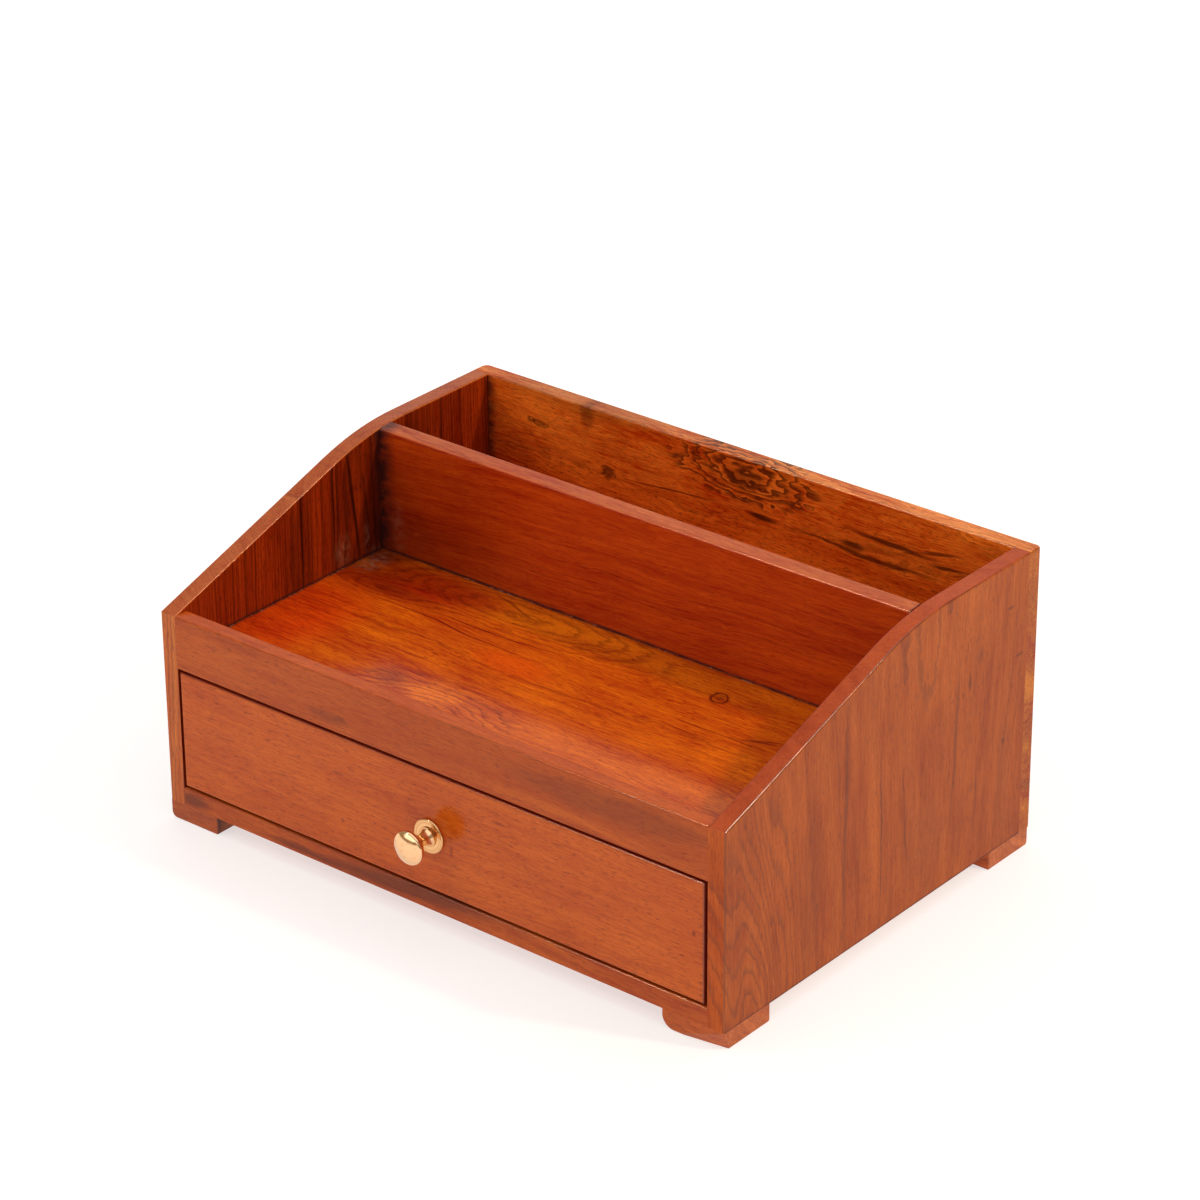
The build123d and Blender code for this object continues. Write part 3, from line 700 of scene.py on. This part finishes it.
class ORGANIZER_OT_drawer(bpy.types.Operator):
    """Finishes the drawer's boards"""

    bl_idname = "organizer.drawer"
    bl_label = "Drawer"

    def execute(self, context):
        settings = context.scene.organizer
        front = Cut(
            pith=(-220, 90), ring=2.6, run_out=0.01, sway=8, lines=0.15, bands=0.12, mottle=0.3,
            fibres=0.45, streaks=0.15, pores=0.55, shine=0.85, seed=113,
            marks=(
                Mark(-100, 51, 9, 1.2, heart=0.35), Mark(-60, 65, 5, 1, heart=0.4),
                Mark(-40, 66, 4, 1, heart=0.4),
                Mark(42, 73, 6, 1, heart=0.4), Mark(78, 74.5, 5, 1.2, heart=0.45),
                Mark(12, 50, 1.2, 4, heart=0.5),
                Mark(160, 58, 1.6, 1.6, heart=0.7),
            ),
        )
        cuts = (
            ("drawer_front", front, settings.front),
            ("drawer_left_side", Cut(along="Y", pith=(30, 40), seed=127), settings.inner),
            ("drawer_right_side", Cut(along="Y", pith=(30, 40), seed=131), settings.inner),
            ("drawer_back", Cut(pith=(30, 40), seed=137), settings.inner),
            ("drawer_bottom", Cut(across="Y", pith=(30, 140), ring=7, seed=139), settings.ply),
        )
        for node, cut, tone in cuts:
            dress(node, teak("lacquered_teak_" + node, node, cut, tone, settings.lacquer))
        return {"FINISHED"}


class ORGANIZER_OT_metal(bpy.types.Operator):
    """Finishes the brass knob and the steel fastenings"""

    bl_idname = "organizer.metal"
    bl_label = "Metal"

    def execute(self, context):
        for node, bright, grooves in (("knob", "#F0C294", 0.0), ("knob_rosette", "#E4B583", 0.7)):
            dress(node, polished_brass(node, linear(bright), grooves))
        for node in ("knob_washer", "knob_screw", "back_panel_screws", "foot_nails", "drawer_brads"):
            dress(node, zinc_steel(node))
        return {"FINISHED"}


def polished_brass(node, bright, grooves):
    """Lacquered brass, machine polished: warm bright reflections, a faint haze and turning marks."""
    material, tree = new_material("polished_brass_" + node)
    spot = middle(node)
    axle = {
        "Vector": add(tree, "TexCoord", take="Object"),
        "Location": (spot.x, 0.0, spot.z),
        "Scale": (MM, MM, MM),
    }
    place = add(tree, "Mapping", axle, vector_type="TEXTURE")
    flat = add(tree, "VectorMath", [place, (1.0, 0.0, 1.0)], operation="MULTIPLY")
    radius = add(tree, "VectorMath", [flat], operation="LENGTH", take="Value")

    # The tool left fine marks, and the darker rings are some 1 mm apart
    turned = add(tree, "TexNoise", {"W": radius, "Scale": 3.0, "Detail": 3.0}, noise_dimensions="1D")
    ringed = add(tree, "TexNoise", {"W": radius, "Scale": 0.9, "Detail": 1.0}, noise_dimensions="1D")
    ringed = add(tree, "MapRange", [ringed, 0.42, 0.62, 0.0, grooves], **SOFT)
    tarnish = patches(tree, place, (2.5, 2.5, 2.5), 7.0, detail=4.0)
    tarnish = add(tree, "MapRange", [tarnish, 0.5, 0.75, 0.0, 0.35], **SOFT)
    tarnish = add(tree, "Math", [tarnish, ringed], operation="MAXIMUM")
    haze = patches(tree, place, (4, 4, 4), 3.0, detail=3.0)
    surface(
        tree,
        {
            "Base Color": layered(tree, bright, [(tarnish, linear("#CC945A"), "MIX")]),
            "Metallic": 1.0,
            "Roughness": add(tree, "MapRange", [haze, 0.3, 0.7, 0.07, 0.15], **SOFT),
            "Normal": add(tree, "Bump", {"Strength": 0.05, "Distance": 0.05 * MM, "Height": turned}),
        },
    )
    return material


def zinc_steel(node):
    """Zinc-plated steel: cool grey with a soft shine and a faint mottle."""
    material, tree = new_material("zinc_steel_" + node)

    # The mottle is some 1.1 mm wide
    spread = {"Vector": add(tree, "TexCoord", take="Object"), "Scale": (900, 900, 900)}
    scaled = add(tree, "Mapping", spread)
    mottle = add(tree, "TexNoise", {"Vector": scaled, "Scale": 1.0, "Detail": 3.0})
    surface(
        tree,
        {
            "Base Color": layered(tree, linear("#C4C6C8"), [(mottle, linear("#A6A8AA"), "MIX")]),
            "Metallic": 1.0,
            "Roughness": add(tree, "MapRange", [mottle, 0.3, 0.7, 0.28, 0.42], **SOFT),
        },
    )
    return material


class ORGANIZER_OT_studio(bpy.types.Operator):
    """Builds the pale floor, the soft lights and the camera"""

    bl_idname = "organizer.studio"
    bl_label = "Studio"

    def execute(self, context):
        studio = context.scene.organizer.studio
        build_floor(studio)
        build_sky(context.scene, studio)
        build_lights(studio)
        build_camera(context.scene, studio)
        context.scene.view_settings.view_transform = "Standard"
        return {"FINISHED"}


def build_floor(studio):
    """A wide pale floor under the feet."""
    mesh = bpy.data.meshes.new("studio_floor")
    shape = bmesh.new()
    bmesh.ops.create_grid(shape, x_segments=1, y_segments=1, size=studio.floor_side / 2)
    shape.to_mesh(mesh)
    shape.free()
    floor = bpy.data.objects.new("studio_floor", mesh)
    bpy.context.scene.collection.objects.link(floor)
    material, tree = new_material("pale_paper")
    surface(
        tree,
        {
            "Base Color": studio.floor_colour,
            "Roughness": 0.7,
            "Specular IOR Level": 0.2,
            "Emission Color": (1.0, 1.0, 1.0),
            "Emission Strength": studio.floor_glow,
        },
    )
    mesh.materials.append(material)


def build_sky(scene, studio):
    """Soft light from all round."""
    world = bpy.data.worlds.new("studio_sky")
    world.use_nodes = True
    tree = world.node_tree
    tree.nodes.clear()
    towards = add(tree, "TexCoord", take="Generated")
    height = add(tree, "SeparateXYZ", [towards], take="Z")
    away = (-math.sin(studio.camera_turn), math.cos(studio.camera_turn), 0.0)
    behind = add(tree, "VectorMath", [towards, away], operation="DOT_PRODUCT", take="Value")
    ahead = add(tree, "VectorMath", [towards, WINDOW_AHEAD], operation="DOT_PRODUCT", take="Value")

    # The window is low and in front, with soft edges
    sill = add(tree, "MapRange", [height, 0.13, 0.19], **SOFT)
    lintel = add(tree, "MapRange", [height, 0.48, 0.42], **SOFT)
    window = add(tree, "Math", [sill, lintel], operation="MULTIPLY")
    jambs = add(tree, "MapRange", [ahead, 0.72, 0.82], **SOFT)
    window = add(tree, "Math", [window, jambs], operation="MULTIPLY")

    # White from above, the backdrop behind the organizer and the window are laid over the warm walls
    layers = (
        (add(tree, "MapRange", [height, 0.05, 0.6], **SOFT), linear("#FFFDFB"), "MIX"),
        (add(tree, "MapRange", [behind, 0.3, 0.95], **SOFT), [studio.backdrop / studio.sky] * 3, "MIX"),
        (window, [studio.window / studio.sky] * 3, "MIX"),
    )
    light = layered(tree, studio.walls, layers)
    light = add(tree, "Background", {"Color": light, "Strength": studio.sky})
    add(tree, "OutputWorld", {"Surface": light}, take=None)
    scene.world = world


def build_lights(studio):
    """A wide light overhead, and one small light in front and one behind for the glints on the edges."""
    glint = linear("#FFD9B0")
    lights = (
        ("overhead_light", (0.12, 0.05, 1.0), studio.overhead, 80.0, (1.0, 1.0, 1.0)),
        ("front_light", (-0.52, -0.5, 0.692), studio.front_light, 3.0, glint),
        ("edge_light", (0.66, 0.27, 0.70), studio.edge_light, 4.0, glint),
    )
    for name, towards, strength, spread, tint in lights:
        lamp = bpy.data.lights.new(name, "SUN")
        lamp.energy = strength
        lamp.angle = math.radians(spread)
        lamp.color = tint
        holder = bpy.data.objects.new(name, lamp)
        holder.rotation_euler = Vector(towards).to_track_quat("Z", "Y").to_euler()
        bpy.context.scene.collection.objects.link(holder)


def build_camera(scene, studio):
    """The camera at the photograph's angle."""
    turn, tilt, roll = studio.camera_turn, studio.camera_tilt, studio.camera_roll
    back = Vector((math.sin(turn) * math.cos(tilt), -math.cos(turn) * math.cos(tilt), math.sin(tilt)))
    level = Vector((math.cos(turn), math.sin(turn), 0.0))
    upward = level.cross(-back)
    right = math.cos(roll) * level + math.sin(roll) * upward
    up = -math.sin(roll) * level + math.cos(roll) * upward
    lens = bpy.data.cameras.new("camera")
    lens.sensor_width = 36.0
    lens.lens = studio.lens
    lens.clip_start = 0.05
    lens.clip_end = 100.0
    camera = bpy.data.objects.new("camera", lens)
    pose = Matrix((right, up, back)).transposed().to_4x4()
    pose.translation = Vector(studio.camera_place)
    camera.matrix_world = pose
    scene.collection.objects.link(camera)
    scene.camera = camera


class ORGANIZER_PT_panel(bpy.types.Panel):
    """Lists the operators."""

    bl_idname = "ORGANIZER_PT_panel"
    bl_label = "Desk organizer"
    bl_space_type = "VIEW_3D"
    bl_region_type = "UI"
    bl_category = "Organizer"

    def draw(self, context):
        for operator in OPERATORS:
            self.layout.operator(operator.bl_idname)


OPERATORS = (ORGANIZER_OT_boards, ORGANIZER_OT_drawer, ORGANIZER_OT_metal, ORGANIZER_OT_studio)
STAINS = (
    FrontStain, RailStain, FootStain, SideStain, DarkStain, StripStain, DividerStain, FloorStain, BackStain,
    InnerStain, PlyStain, BeechStain,
)
CLASSES = (*STAINS, Lacquer, Studio, Organizer, *OPERATORS, ORGANIZER_PT_panel)


def register():
    for cls in CLASSES:
        bpy.utils.register_class(cls)
    bpy.types.Scene.organizer = PointerProperty(type=Organizer)


def unregister():
    del bpy.types.Scene.organizer
    for cls in reversed(CLASSES):
        bpy.utils.unregister_class(cls)


def main():
    """Finishes the organizer."""
    register()
    bpy.ops.organizer.boards()
    bpy.ops.organizer.drawer()
    bpy.ops.organizer.metal()
    bpy.ops.organizer.studio()


if __name__ == "__main__":
    main()
